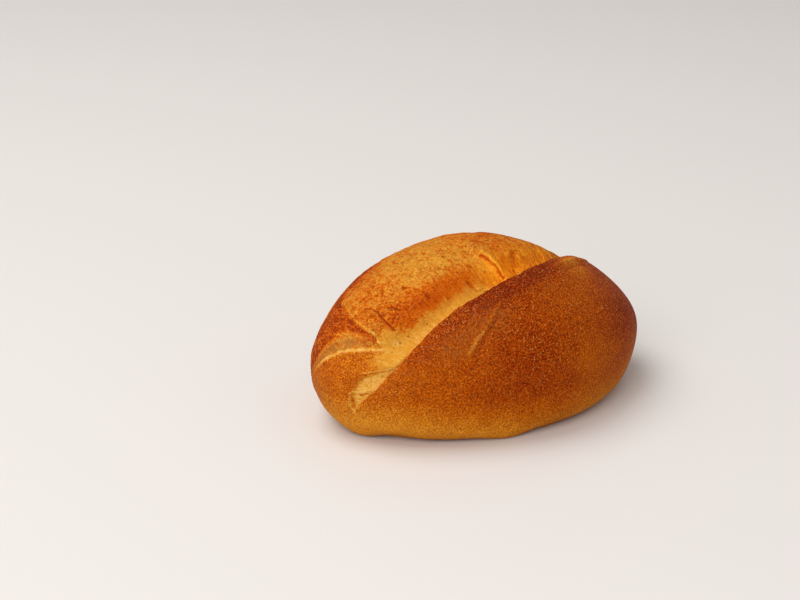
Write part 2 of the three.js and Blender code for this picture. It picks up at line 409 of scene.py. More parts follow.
def score_side(climb):
    past_middle = climb > SCORE_MIDDLE
    span = np.where(past_middle, SCORE_SPAN_TO_MINUS_X, SCORE_SPAN_TO_PLUS_X)
    power = np.where(past_middle, SCORE_POWER_TO_MINUS_X, SCORE_POWER_TO_PLUS_X)
    return -SCORE_BOW * np.exp(-(np.abs((climb - SCORE_MIDDLE) / span) ** power))


def flattened(climb, side):
    """A place in millimetres on the crust laid flat."""
    return np.stack([climb * MM_PER_CLIMB_DEGREE, side * MM_PER_SIDE_DEGREE], axis=-1)


class Places:
    """Every vertex's place on the plain body, and where that is against the score."""

    def __init__(self, directions, points):
        self.directions, self.points = directions, points
        self.climb, self.side = climb_and_side(directions)
        self.flat = flattened(self.climb, self.side)
        ragged = layered(points, LIP_RAGGED)
        self.across = (self.side - score_side(self.climb) + ragged) * MM_PER_SIDE_DEGREE
        self.calm = smoothstep(points[:, 2], 0, BASE_CALM_HEIGHT)


def score_strength(climb):
    """1 along most of the score, 0 past its two ends."""
    near_end = 1 - smoothstep(climb, SCORE_NEAR_END - SCORE_NEAR_FADE, SCORE_NEAR_END)
    return near_end * smoothstep(climb, SCORE_FAR_END, SCORE_FAR_END + SCORE_FAR_FADE)


def past_wall(at):
    return smoothstep(at.across, 0, CUT_WALL)


def ridge_climb(side):
    """Climb of the ridge along the tongue's top edge."""
    past = side - RIDGE_TURN_SIDE
    return RIDGE_CLIMB + RIDGE_SLOPE * past + RIDGE_TURN * np.maximum(0, past) ** 2


def past_ridge(at):
    """Degrees past the ridge, positive on the tongue."""
    return at.climb - ridge_climb(at.side)


def on_tongue(at):
    """1 on the tongue of smooth crust at the -X end, 0 off it."""
    away = smoothstep(at.across, *FIRM_ACROSS)
    edge = TONGUE_EDGE * away + TONGUE_EDGE_AT_SCORE * (1 - away)
    return past_wall(at) * smoothstep(past_ridge(at) / edge, -1, 1)


def in_patch(at):
    """Millimetres inside the edge of the pale patch beside the flap's end."""
    ends = smoothstep(at.climb, *PATCH_START_CLIMBS) * (1 - smoothstep(at.climb, *PATCH_END_CLIMBS))
    return (PATCH_WIDTH + PATCH_SOFTNESS) * ends - PATCH_SOFTNESS - at.across


def on_patch(at):
    """1 on the patch, 0 off it."""
    return past_wall(at) * smoothstep(in_patch(at), -PATCH_SOFTNESS, PATCH_SOFTNESS)


def flap_relief(at):
    curl = FLAP_CURL_RISE * bell(at.climb - FLAP_CURL_CLIMB, FLAP_CURL_SPAN)
    return (FLAP_RISE + curl) * smoothstep(at.across, -FLAP_REACH, 0) * (1 - past_wall(at))


def cut_relief(at):
    slope = 1 - smoothstep(at.across, CUT_FLOOR, CUT_SLOPE_END)
    return -CUT_DEPTH * past_wall(at) * slope * (1 - on_tongue(at))


def end_relief(at):
    """The tongue, the ridge along its top edge, and the shallow patch."""
    side_fade = 1 - smoothstep(at.side, *TONGUE_FADE_SIDES)
    tongue = TONGUE_RISE * on_tongue(at) * (1 - smoothstep(at.climb, *TONGUE_FADE_CLIMBS)) * side_fade
    ridge = RIDGE_RISE * bell(past_ridge(at), RIDGE_WIDTH) * smoothstep(at.across, *FIRM_ACROSS)
    return tongue + ridge * side_fade - PATCH_DEPTH * on_patch(at)


def against_line(points, start, end):
    """How far points lie past the ends of a stretch of crust, and beside it, +X positive."""
    start, end = body_point(start), body_point(end)
    run = end - start
    share = (points - start) @ run / (run @ run)
    foot = start + np.clip(share, 0, 1)[:, None] * run
    past = np.maximum(0, np.maximum(-share, share - 1)) * np.linalg.norm(run)
    beside = points - foot
    sign = np.where(beside[:, 0] >= 0, 1, -1)
    return past, sign * np.linalg.norm(beside, axis=1)


def fold_relief(at):
    """The folds across the torn crumb: a crest, a short step down, and a groove."""
    height = 0
    for fold in FOLDS:
        past, beside = against_line(at.points, fold["start"], fold["end"])
        step = smoothstep(np.abs(beside), 0, FOLD_STEP_WIDTH)
        crest = fold["crest"] * bell(beside, fold["widths"][0])
        groove = -fold["groove"] * bell(beside, fold["widths"][1])
        height = height + bell(past, FOLD_END_FADE) * step * np.where(beside > 0, crest, groove)
    return smoothstep(at.across, 0, CUT_FLOOR) * height


def from_line(flat, line):
    """Distance in millimetres from a line drawn on the crust laid flat."""
    corners = [flattened(*place) for place in line]
    nearest = np.inf
    for start, end in zip(corners, corners[1:]):
        run = end - start
        share = np.clip((flat - start) @ run / (run @ run), 0, 1)
        foot = start + share[:, None] * run
        nearest = np.minimum(nearest, np.linalg.norm(flat - foot, axis=1))
    return nearest


def stroke_relief(at):
    height = 0
    for stroke in STROKES:
        width = max(stroke.width, FINEST_RELIEF)
        height = height + stroke.rise * bell(from_line(at.flat, stroke.line), width)
    return height


def away_from(directions, climb, side):
    """Angle in degrees between directions and one place."""
    return np.degrees(np.arccos(np.clip(directions @ direction_at(climb, side), -1, 1)))


def spots(at, places):
    """The sum of round, soft spots, each with its climb, side, reach and strength."""
    total = 0
    for climb, side, reach, strength in places:
        total = total + strength * bell(away_from(at.directions, climb, side), reach)
    return total


# ---- where the crust is torn open ------------------------------------------------------------

def in_far_edge(at):
    """Degrees from the torn crumb's far edge, positive inside it."""
    waver = layered(at.points, FAR_EDGE_WAVER)
    return np.interp(at.climb, FAR_EDGE_CLIMBS, FAR_EDGE_SIDES) - at.side + waver


def fresh_share(at):
    """1 where the score's pale crumb runs out over the tongue, 0 elsewhere."""
    along = smoothstep(at.climb, *FRESH_START_CLIMBS) * (1 - smoothstep(at.climb, *FRESH_END_CLIMBS))
    return along * bell(np.maximum(0, at.across - FRESH_FULL_ACROSS), FRESH_FADE) * past_wall(at)


def torn_share(at):
    """1 on the torn crumb, 0 on the smooth crust around it."""
    inside = smoothstep(in_far_edge(at), -FAR_EDGE_SOFTNESS, FAR_EDGE_SOFTNESS)
    opened = past_wall(at) * inside * (1 - on_tongue(at))
    return np.maximum(opened, on_patch(at))


def red_share(at):
    """1 on the redder crumb between the middle fold and the pale hollow below it."""
    top = RED_TOP_CLIMB + RED_TOP_SLOPE * at.side
    low = RED_LOW_CLIMB + RED_LOW_TURN * np.maximum(0, at.side - RED_LOW_TURN_SIDE) ** 2
    band = smoothstep(at.climb - top, *RED_TOP_EDGE)
    band = band * (1 - smoothstep(at.climb - low, -RED_LOW_SOFTNESS, RED_LOW_SOFTNESS))
    return band * smoothstep(at.side, *RED_SIDES)


def strip_share(at):
    """1 on the pale strip of fresh crumb along the flap's edge."""
    width = np.interp(at.climb, STRIP_CLIMBS, STRIP_WIDTHS, left=0, right=0)
    width = width * (1 + layered(at.points, STRIP_WAVER))
    return past_wall(at) * (1 - smoothstep(at.across - width, -STRIP_SOFTNESS, STRIP_SOFTNESS))


def fine_relief(at, torn):
    crumb = layered(at.points, CRUMB_RELIEF)
    crust = layered(at.points, CRUST_RELIEF)
    return at.calm * (torn * crumb + (1 - torn) * crust)


# ---- the fields that the colours follow ------------------------------------------------------

def crust_browning(at):
    """0 is golden and 1 is the darkest brown, on the smooth crust."""
    x, height = at.points[:, 0], at.points[:, 2]
    level = CRUST_LEVEL + CRUST_MIDDLE_BROWNER * smoothstep(x, *CRUST_MIDDLE_X)
    for paler, low, high in LOW_PALER:
        level = level - paler * (1 - smoothstep(height, low, high))
    lip = bell(np.minimum(at.across - LIP_BROWN_ACROSS, 0), LIP_BROWN_FADE) * (1 - past_wall(at))
    for browner, climbs in LIP_BROWNER:
        level = level + browner * between(at.climb, *climbs) * lip
    level = level + spots(at, CRUST_SPOTS) + layered(at.points, CRUST_PATCHES)
    level = level - TONGUE_PALER * fresh_share(at)
    level = level - FAR_CRUST_PALER * bell(in_far_edge(at), FAR_EDGE_SHADE) * past_wall(at)
    underneath = 1 - smoothstep(height, *UNDERSIDE_HEIGHTS)
    under_level = UNDERSIDE_LEVEL + layered(at.points, UNDERSIDE_PATCHES)
    return np.clip(level * (1 - underneath) + under_level * underneath, 0, 1)


def crumb_browning(at):
    """0 is cream, 0.5 tan and 1 red-brown, on the torn crumb."""
    level = CRUMB_LEVEL + layered(at.points, CRUMB_PATCHES) + spots(at, CRUMB_SPOTS)
    for zone in CRUMB_ZONES:
        share = smoothstep(at.across, *zone.across) * between(at.climb, *zone.climbs)
        level = level + zone.browner * share
    level = level + FOLDED_BROWNER * between(at.climb, *FOLDED_CLIMBS)
    level = level + layered(at.points, BLOTCHY_PATCHES) * between(at.climb, *BLOTCHY_CLIMBS)
    level = level + layered(at.points, BACK_PATCHES) * smoothstep(at.across, *BACK_ACROSS)
    back = smoothstep(at.side, *BACK_SIDES) * between(at.climb, *BACK_CLIMBS)
    band = bell(at.across - BAND_ACROSS, BAND_WIDTH) * between(at.climb, *BAND_CLIMBS)
    level = level + BACK_BROWNER * back + BAND_BROWNER * band
    level = level + FAR_CRUMB_BROWNER * bell(in_far_edge(at), FAR_EDGE_SHADE)
    strip_level = STRIP_LEVEL - STRIP_PALER * smoothstep(at.climb, *STRIP_PALER_CLIMBS)
    strip = strip_share(at)
    level = level * (1 - strip) + strip_level * strip
    level = level + RED_BROWNER * red_share(at)
    fresh = fresh_share(at)
    level = level * (1 - fresh) + FRESH_LEVEL * fresh
    patch = smoothstep(in_patch(at), *PATCH_PALE_EDGE) * past_wall(at)
    return np.clip(level * (1 - patch) + PATCH_LEVEL * patch, 0, 1)


def glow_share(at):
    """1 on the brighter orange crumb near the top, 0 elsewhere."""
    return bell(at.across - GLOW_ACROSS, GLOW_WIDTH) * between(at.climb, *GLOW_CLIMBS)


def tan_share(at):
    """1 on the dull tan crumb above the tongue, less on the tip and on a band of painted sheen beside
    the flap's edge.
    """
    hollow = smoothstep(past_ridge(at), *HOLLOW_START) * (1 - smoothstep(past_ridge(at), *HOLLOW_END))
    hollow = hollow * smoothstep(at.side, *HOLLOW_SIDES) * past_wall(at)
    hollow = hollow * (1 - HOLLOW_LESS_IN_RED * red_share(at))
    sheen_band = bell(at.across - SHEEN_BAND_ACROSS, SHEEN_BAND_WIDTH) * between(at.climb, *SHEEN_BAND_CLIMBS)
    sheen_band = SHEEN_BAND_SHARE * sheen_band * (1 - past_wall(at))
    return np.maximum(hollow, np.maximum(sheen_band, spots(at, TAN_SPOTS)))


def speckle_and_glint_share(at):
    """1 where the flap has the most pale specks, which are partly painted glints, and dark dots, less
    on most of the crust.
    """
    near_edge = smoothstep(at.across, *SPECKLE_AND_GLINT_EDGE_ACROSS) * between(at.climb, *SPECKLE_AND_GLINT_EDGE_CLIMBS)
    upper = smoothstep(at.across, *SPECKLE_AND_GLINT_TOP_ACROSS) * between(at.climb, *SPECKLE_AND_GLINT_TOP_CLIMBS)
    share = np.maximum(near_edge, SPECKLE_AND_GLINT_TOP_SHARE * upper) * (1 - past_wall(at))
    low = 1 - smoothstep(at.points[:, 2], *LESS_SPECKLE_AND_GLINT_HEIGHTS)
    return MOST_SPECKLE_AND_GLINT + (1 - MOST_SPECKLE_AND_GLINT) * share - LESS_SPECKLE_AND_GLINT_LOW * low


def grainy_share(at):
    """1 where the crumb is rough and mottled, less where it is drawn out smooth."""
    drawn = bell(at.across - DRAWN_ACROSS, DRAWN_WIDTH) * between(at.climb, *DRAWN_CLIMBS)
    smooth = np.maximum(DRAWN_SMOOTH * drawn, STRIP_SMOOTH * strip_share(at))
    smooth = np.maximum(smooth, FRESH_SMOOTH * fresh_share(at))
    smooth = np.maximum(smooth, PATCH_SMOOTH * smoothstep(in_patch(at), -1, 1) * past_wall(at))
    return 1 - smooth + RED_ROUGHER * red_share(at)


def pore_share(at):
    """1 where the crumb has the most pores."""
    return np.clip(FEWEST_PORES + spots(at, PORE_SPOTS), 0, 1)


# ---- the mesh's grid -------------------------------------------------------------------------

def lattice():
    """The surface of a box of grid cells: its corners, its quads, and each quad's box side."""
    quads, sides = [], []
    _, ny, nz = GRID_STEPS
    row, layer = nz + 1, (nz + 1) * (ny + 1)
    for axis in range(3):
        u_axis, v_axis = (axis + 1) % 3, (axis + 2) % 3
        steps = np.arange(GRID_STEPS[u_axis]), np.arange(GRID_STEPS[v_axis])
        u, v = np.meshgrid(*steps, indexing="ij")
        for top in (0, 1):
            turns = [(0, 0), (1, 0), (1, 1), (0, 1)]
            if not top:
                turns.reverse()
            quad = np.zeros((u.size, 4, 3), dtype=int)
            for corner, (du, dv) in enumerate(turns):
                quad[:, corner, axis] = top * GRID_STEPS[axis]
                quad[:, corner, u_axis] = u.ravel() + du
                quad[:, corner, v_axis] = v.ravel() + dv
            quads.append(quad)
            sides.append(np.full(len(quad), 2 * axis + top))
    quads = np.concatenate(quads)
    keys = quads[..., 0] * layer + quads[..., 1] * row + quads[..., 2]
    unique, places = np.unique(keys, return_inverse=True)
    corners = np.stack([unique // layer, unique % layer // row, unique % row], axis=-1)
    return corners, places.reshape(-1, 4), quads, np.concatenate(sides)


def grid_directions(corners):
    """Turns grid corners into directions, with grid lines that follow the score."""
    even = np.tan((2 * corners / np.array(GRID_STEPS) - 1) * math.pi / 4)
    raised = unit(unit(even) + (0, 0, GRID_RAISED))
    climb, side = climb_and_side(raised)
    pinched = side * (1 - GRID_PINCH * bell(side, GRID_PINCH_WIDTH))
    follow = np.cos(np.radians(side)) ** 2
    return direction_at(climb, pinched + follow * score_side(climb))


def vertex_normals(points, quads):
    diagonals = points[quads[:, 2]] - points[quads[:, 0]], points[quads[:, 3]] - points[quads[:, 1]]
    face_normals = np.cross(*diagonals)
    normals = np.zeros_like(points)
    for corner in range(4):
        np.add.at(normals, quads[:, corner], face_normals)
    return unit(normals)


# The six box sides' places in the unit square: left, bottom, width, height.
ATLAS = {
    5: (0.0, 0.0, 0.64, 0.56),
    4: (0.64, 0.0, 0.36, 0.56),
    3: (0.0, 0.56, 0.5, 0.44),
    2: (0.5, 0.56, 0.5, 0.22),
    1: (0.5, 0.78, 0.25, 0.22),
    0: (0.75, 0.78, 0.25, 0.22),
}


def atlas_places(quads, sides):
    """Where each quad's corners lie in the unit square, with a gap between the box sides."""
    places = np.zeros((len(quads), 4, 2))
    for side, (left, bottom, width, height) in ATLAS.items():
        axis = side // 2
        u_axis, v_axis = sorted({0, 1, 2} - {axis})
        mine = sides == side
        share_u = quads[mine][..., u_axis] / GRID_STEPS[u_axis]
        share_v = quads[mine][..., v_axis] / GRID_STEPS[v_axis]
        places[mine, :, 0] = left + ATLAS_GAP + share_u * (width - 2 * ATLAS_GAP)
        places[mine, :, 1] = bottom + ATLAS_GAP + share_v * (height - 2 * ATLAS_GAP)
    return places


# ---- the roll --------------------------------------------------------------------------------

def roll_shape():
    """The roll's points, its quads, their map places and the fields that the colours follow."""
    corners, quads, grid_quads, box_sides = lattice()
    directions = grid_directions(corners)
    plain = body_points(directions)
    at = Places(directions, plain)
    torn = torn_share(at)
    height = score_strength(at.climb) * (flap_relief(at) + cut_relief(at)) + end_relief(at)
    height = height + fold_relief(at) + stroke_relief(at) + at.calm * spots(at, SWELLS)
    height = height + fine_relief(at, torn)
    far_edge = bell(in_far_edge(at), FAR_EDGE_RISE_WIDTH) * past_wall(at) * (1 - on_tongue(at))
    height = height + FAR_EDGE_RISE * far_edge
    points = plain + vertex_normals(plain, quads) * height[:, None]
    points[:, 2] = np.maximum(points[:, 2], 0)
    fields = {
        "across": at.across,
        "past_ridge": past_ridge(at),
        "in_patch": in_patch(at),
        "in_far_edge": in_far_edge(at),
        "fresh": fresh_share(at),
        "crust_browning": crust_browning(at),
        "crumb_browning": crumb_browning(at),
        "glow": glow_share(at),
        "tan": tan_share(at),
        "speckle_and_glint": speckle_and_glint_share(at),
        "grainy": grainy_share(at),
        "pores": pore_share(at),
        "flat_climb": at.flat[:, 0],
        "flat_side": at.flat[:, 1],
        "off_flat": UNDERSIDE_AWAY * (1 - smoothstep(plain[:, 2], *UNDERSIDE_AWAY_HEIGHTS)),
    }
    return points, quads, atlas_places(grid_quads, box_sides), fields


def centred(points):
    """Moves the roll until its outline's middle is where the solid's is."""
    low, high = np.array(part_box("roll")) / MM
    middle = (points.min(axis=0) + points.max(axis=0)) / 2
    shift = (low + high) / 2 - middle
    shift[2] = low[2] - points[:, 2].min()
    return points + shift


def make_roll():
    points, quads, uv, fields = roll_shape()
    mesh = bpy.data.meshes.new("bread_roll")
    mesh.from_pydata(centred(points) * MM, [], quads)
    for name, values in fields.items():
        layer = mesh.attributes.new(name, "FLOAT", "POINT")
        layer.data.foreach_set("value", values.astype(np.float32))
    mesh.uv_layers.new(name="OFBake").data.foreach_set("uv", uv.astype(np.float32).ravel())
    mesh.shade_smooth()
    mesh.validate()
    roll = bpy.data.objects.new("bread_roll", mesh)
    bpy.context.collection.objects.link(roll)
    return roll


# ---- the crust's material --------------------------------------------------------------------

# Colours from golden to the darkest brown, and from cream to red-brown.
CRUST_COLOURS = [
    (0.0, (0.625, 0.235, 0.017)),
    (0.25, (0.535, 0.16, 0.007)),
    (0.45, (0.445, 0.095, 0.002)),
    (0.65, (0.355, 0.058, 0.001)),
    (0.85, (0.275, 0.032, 0.001)),
    (1.0, (0.18, 0.016, 0.001)),
]
CRUMB_COLOURS = [
    (0.0, (0.69, 0.36, 0.075)),
    (0.2, (0.58, 0.25, 0.023)),
    (0.45, (0.53, 0.19, 0.018)),
    (0.65, (0.50, 0.105, 0.003)),
    (0.85, (0.42, 0.064, 0.002)),
    (1.0, (0.25, 0.03, 0.002)),
]
GLOW_COLOURS = [
    (0.0, (0.86, 0.42, 0.03)),
    (0.45, (0.76, 0.22, 0.006)),
    (1.0, (0.44, 0.065, 0.002)),
]
# Dull tan for the crumb, also mixed in on a band of the flap as a painted sheen.
TAN_COLOUR = (0.29, 0.098, 0.02, 1)
TAN_SHARE = 0.75
# Pale specks on the smooth crust: partly pale blisters, partly painted glints where the blisters would
# catch the light.
LIP_SPECK_AND_GLINT_COLOUR = (0.68, 0.22, 0.06, 1)
FAR_SPECK_AND_GLINT_COLOUR = (0.68, 0.23, 0.03, 1)
SPECK_AND_GLINT_SHARE = 0.8
THREAD_COLOUR = (0.75, 0.31, 0.06, 1)
THREAD_SHARE = 0.35
RIM_COLOUR = (0.74, 0.39, 0.10, 1)
RIM_SHARE = 0.5
# The pores are darkened towards this colour: painted shade inside the holes.
PORE_COLOUR = (0.22, 0.055, 0.007, 1)
PORE_DARKNESS = 0.5
CRUST_SPECULAR = 0.02
CRUST_ROUGHNESS = 0.52
CRUMB_ROUGHNESS = 0.75

# Layers of noise: size of the grains in millimetres, detail, roughness, seed.
CRUST_GRAIN = (0.5, 2, 0.6, 1)
CRUST_BLOTCHES = (5, 3, 0.6, 2)
CRUMB_MOTTLING = (1.9, 4, 0.7, 3)
CRUMB_GRAIN = (0.6, 2, 0.6, 10)
CRUMB_MARKS = (1.7, 4, 0.8, 13)
CRACK_LINES = (2.6, 3, 0.6, 4)
CRACK_AREAS = (9, 2, 0.5, 9)
EDGE_ROUGHNESS = (1.4, 3, 0.6, 8)
FAR_EDGE_BAYS = (5, 3, 0.6, 18)
RIDGE_BREAKS = (2.2, 3, 0.6, 14)
TAN_PATCHES = (1.8, 3, 0.6, 17)
RIM_BREAKS = (0.9, 2, 0.6, 19)
CRUST_STREAKS = (0.7, 6)  # width and length
CRUMB_STREAKS = (1, 4.5)
CRUST_DOTS = (0.58, 5)    # spacing and seed
CRUMB_PORES = (1.3, 6)
CRUST_THREADS = (1, 11)   # size and seed
CRUMB_THREADS = (1.4, 15)

# How much browner each layer makes the surface where it is strongest, or paler if negative.
CRUST_BLOTCH_TONE = 0.35
CRUST_STREAK_TONE = -0.25
CRUST_GRAIN_TONE = -1.1
CRUST_GRAIN_SHADE = 3     # the grain also darkens and lightens the colour by this
CRUST_SHADE = 0.95
MOTTLING_TONE = -1.1
CRUMB_GRAIN_TONE = -0.8
CRUMB_GRAIN_SHADE = 1.2
CRUMB_STREAK_TONE = -0.6
MARK_TONE = 0.35
CRACK_TONE = 0.3
# The pale line along the tongue's ridge: partly paler crumb, partly a painted highlight on the raised
# edge.
RIDGE_TONE = -0.45

# How high each layer stands, in millimetres.
BUMP_UNIT = MM
GRAIN_BUMP = 0.25
SPECK_BUMP = 0.12
MOTTLING_BUMP = 0.6
STREAK_BUMP = 0.3
MARK_BUMP = -0.1
CRACK_BUMP = -0.12
PORE_BUMP = -0.3

# Where a layer's values turn into marks: the first and the last value of the change.
DOT_EDGE = (0.08, 0.45)
DOT_CHANCE = (0.3, 0.9)
LIP_SPECK_AND_GLINT_ACROSS = (-12, -3)
MARK_EDGE = (0.3, 0.42)
CRACK_EDGE = (0, 0.03)
CRACK_AREA_EDGE = (0.45, 0.6)
THREAD_EDGE = (0, 0.05)
THREAD_AREA_EDGE = (0.46, 0.6)
PORE_EDGE = (0.15, 0.42)
PORE_CHANCE = 0.6         # share of the scattered dots that are pores where there are most
PORE_CHANCE_SOFTNESS = 0.1
TAN_PATCH_EDGE = (0.38, 0.62)
LEAST_TAN = 0.35
RIM_TONES = (-0.6, -0.2)
RIM_BREAK_EDGE = (0.35, 0.6)
LEAST_RIM = 0.2
STROKE_EDGE = (0.2, 1.6)  # in stroke widths
STROKE_WOBBLE = 0.8
STROKE_WOBBLE_SIZE = 2.5
RIDGE_PALE = (0.3, 1.9)   # in degrees of climb
RIDGE_STRAY = 5
RIDGE_START_ACROSS = (6, 12)
RIDGE_END_IN_FAR_EDGE = (6, 19)

# The torn crumb's edges: how far noise moves each one, and where its change starts and ends.
LIP_STRAY = 0.8
LIP_EDGE = (0, 0.5)
TONGUE_STRAY = 4
TONGUE_COLOUR_EDGE = (-0.5, 0.8)
FRESH_STRAY = 0.8
FRESH_EDGE = (0.1, 0.9)
FAR_EDGE_STRAY = 8
FAR_EDGE_BAY_STRAY = 14
FAR_COLOUR_EDGE = (-3, 3)
PATCH_STRAY = 3
PATCH_EDGE = (-0.9, 0.9)


class NodeMaker:
    """Makes and links the nodes of one material."""

    def __init__(self, material):
        self.tree = material.node_tree
        place = self.tree.nodes.new("ShaderNodeTexCoord")
        self.place = place.outputs["Object"]

    def plug(self, socket, value):
        if isinstance(value, bpy.types.NodeSocket):
            self.tree.links.new(value, socket)
        else:
            socket.default_value = value

    def field(self, name):
        node = self.tree.nodes.new("ShaderNodeAttribute")
        node.attribute_name = name
        return node.outputs["Fac"]

    def maths(self, operation, *values):
        node = self.tree.nodes.new("ShaderNodeMath")
        node.operation = operation
        for socket, value in zip(node.inputs, values):
            self.plug(socket, value)
        return node.outputs[0]

    def times(self, first, *others):
        """The product of the values."""
        for other in others:
            first = self.maths("MULTIPLY", first, other)
        return first

    def add(self, level, weight, value):
        """The level plus the value times its weight."""
        return self.maths("MULTIPLY_ADD", value, weight, level)

    def noise(self, size, detail=2.0, roughness=0.5, seed=0.0):
        """Noise from 0 to 1 with grains of this size in millimetres."""
        node = self.tree.nodes.new("ShaderNodeTexNoise")
        node.noise_dimensions = "4D"
        self.plug(node.inputs["Vector"], self.place)
        self.plug(node.inputs["W"], seed)
        self.plug(node.inputs["Scale"], 1 / (size * MM))
        self.plug(node.inputs["Detail"], detail)
        self.plug(node.inputs["Roughness"], roughness)
        return node.outputs["Fac"]

    def wave(self, *layer):
        """The same noise from -0.5 to 0.5."""
        return self.maths("SUBTRACT", self.noise(*layer), 0.5)

    def colour_noise(self, size):
        """Three noises from 0 to 1, as a vector."""
        node = self.tree.nodes.new("ShaderNodeTexNoise")
        self.plug(node.inputs["Vector"], self.place)
        self.plug(node.inputs["Scale"], 1 / (size * MM))
        return node.outputs["Color"]

    def cells(self, size, seed=0.0):
        """Distance to the nearest scattered dot, in dot spacings, and a random number per dot."""
        node = self.tree.nodes.new("ShaderNodeTexVoronoi")
        node.voronoi_dimensions = "4D"
        self.plug(node.inputs["Vector"], self.place)
        self.plug(node.inputs["W"], seed)
        self.plug(node.inputs["Scale"], 1 / (size * MM))
        split = self.tree.nodes.new("ShaderNodeSeparateColor")
        self.plug(split.inputs[0], node.outputs["Color"])
        return node.outputs["Distance"], split.outputs[0]

    def vectors(self, operation, *values):
        node = self.tree.nodes.new("ShaderNodeVectorMath")
        node.operation = operation
        for socket, value in zip((s for s in node.inputs if s.enabled), values):
            self.plug(socket, value)
        return next(s for s in node.outputs if s.enabled)

    def flat_place(self, width=1.0, length=1.0):
        """The place on the crust laid flat, in units of this width along it and length across."""
        node = self.tree.nodes.new("ShaderNodeCombineXYZ")
        self.plug(node.inputs[0], self.maths("DIVIDE", self.field("flat_climb"), width))
        self.plug(node.inputs[1], self.maths("DIVIDE", self.field("flat_side"), length))
        self.plug(node.inputs[2], self.field("off_flat"))
        return node.outputs[0]

    def streaks(self, width, length):
        """Noise from -0.5 to 0.5, drawn out on the crust laid flat."""
        node = self.tree.nodes.new("ShaderNodeTexNoise")
        self.plug(node.inputs["Vector"], self.flat_place(width, length))
        self.plug(node.inputs["Scale"], 1.0)
        return self.maths("SUBTRACT", node.outputs["Fac"], 0.5)

    def from_line(self, flat, line):
        """Distance in millimetres from a line drawn on the crust laid flat."""
        corners = [Vector((*flattened(*place), 0)) for place in line]
        nearest = None
        for start, end in zip(corners, corners[1:]):
            run = end - start
            from_start = self.vectors("SUBTRACT", flat, start)
            share = self.vectors("DOT_PRODUCT", from_start, run / run.length_squared)
            foot = self.vectors("SCALE", run, self.clamp(share))
            distance = self.vectors("DISTANCE", from_start, foot)
            nearest = distance if nearest is None else self.maths("MINIMUM", nearest, distance)
        return nearest

    def clamp(self, value):
        """The value, held between 0 and 1."""
        node = self.tree.nodes.new("ShaderNodeClamp")
        self.plug(node.inputs[0], value)
        return node.outputs[0]

    def step(self, value, low, high, at_low=0.0, at_high=1.0):
        """A smooth change from at_low, where the value is low, to at_high, where it is high."""
        node = self.tree.nodes.new("ShaderNodeMapRange")
        node.interpolation_type = "SMOOTHSTEP"
        for socket, number in zip(node.inputs, (value, low, high, at_low, at_high)):
            self.plug(socket, number)
        return node.outputs[0]

    def fall(self, value, low, high):
        """1 where the value is low, 0 where it is high, and a smooth change between them."""
        return self.step(value, low, high, 1.0, 0.0)

    def ramp(self, value, colours):
        node = self.tree.nodes.new("ShaderNodeValToRGB")
        elements = node.color_ramp.elements
        while len(elements) < len(colours):
            elements.new(1.0)
        for element, (position, colour) in zip(elements, colours):
            element.position = position
            element.color = (*colour, 1)
        self.plug(node.inputs[0], value)
        return node.outputs["Color"]

    def mix(self, share, first, second):
        node = self.tree.nodes.new("ShaderNodeMix")
        node.data_type = "RGBA"
        self.plug(node.inputs["Factor"], share)
        self.plug(node.inputs["A"], first)
        self.plug(node.inputs["B"], second)
        return node.outputs["Result"]


def stroke_tone(nodes):
    """How much browner or paler the thin lines make the crust."""
    wobble = nodes.vectors("SUBTRACT", nodes.colour_noise(STROKE_WOBBLE_SIZE), (0.5, 0.5, 0.5))
    flat = nodes.vectors("ADD", nodes.flat_place(), nodes.vectors("SCALE", wobble, STROKE_WOBBLE))
    tone = 0.0
    for stroke in STROKES:
        distance = nodes.from_line(flat, stroke.line)
        share = nodes.fall(distance, *(edge * stroke.width for edge in STROKE_EDGE))
        tone = nodes.add(tone, stroke.tone, share)
    return nodes.add(tone, RIDGE_TONE, ridge_line(nodes))


def ridge_line(nodes):
    """1 on the pale, broken line along the tongue's ridge, 0 off it; partly paler crumb, partly a
    painted highlight on the raised edge.
    """
    off_ridge = nodes.add(nodes.field("past_ridge"), RIDGE_STRAY, nodes.wave(*RIDGE_BREAKS))
    line = nodes.fall(nodes.maths("ABSOLUTE", off_ridge), *RIDGE_PALE)
    start = nodes.step(nodes.field("across"), *RIDGE_START_ACROSS)
    end = nodes.step(nodes.field("in_far_edge"), *RIDGE_END_IN_FAR_EDGE)
    return nodes.times(line, start, end)


def thin_worms(nodes, size, seed):
    """1 on short bent threads that lie scattered over the surface, 0 between them."""
    worms = nodes.fall(nodes.maths("ABSOLUTE", nodes.wave(size, 1.0, 0.5, seed)), *THREAD_EDGE)
    return nodes.times(worms, nodes.step(nodes.noise(size, seed=seed + 1), *THREAD_AREA_EDGE))


def with_tan(nodes, colour):
    """The colour, turned a dull tan in patches, which on the band beside the flap's edge is a painted
    sheen.
    """
    patches = nodes.step(nodes.noise(*TAN_PATCHES), *TAN_PATCH_EDGE, LEAST_TAN, 1.0)
    share = nodes.times(nodes.field("tan"), nodes.times(patches, TAN_SHARE))
    return nodes.mix(share, colour, TAN_COLOUR)


def with_pale_rims(nodes, colour, tone):
    """The colour, turned creamy where a thin line is much paler than the crust beside it."""
    rims = nodes.fall(tone, *RIM_TONES)
    broken = nodes.step(nodes.noise(*RIM_BREAKS), *RIM_BREAK_EDGE, LEAST_RIM * RIM_SHARE, RIM_SHARE)
    return nodes.mix(nodes.times(rims, broken), colour, RIM_COLOUR)


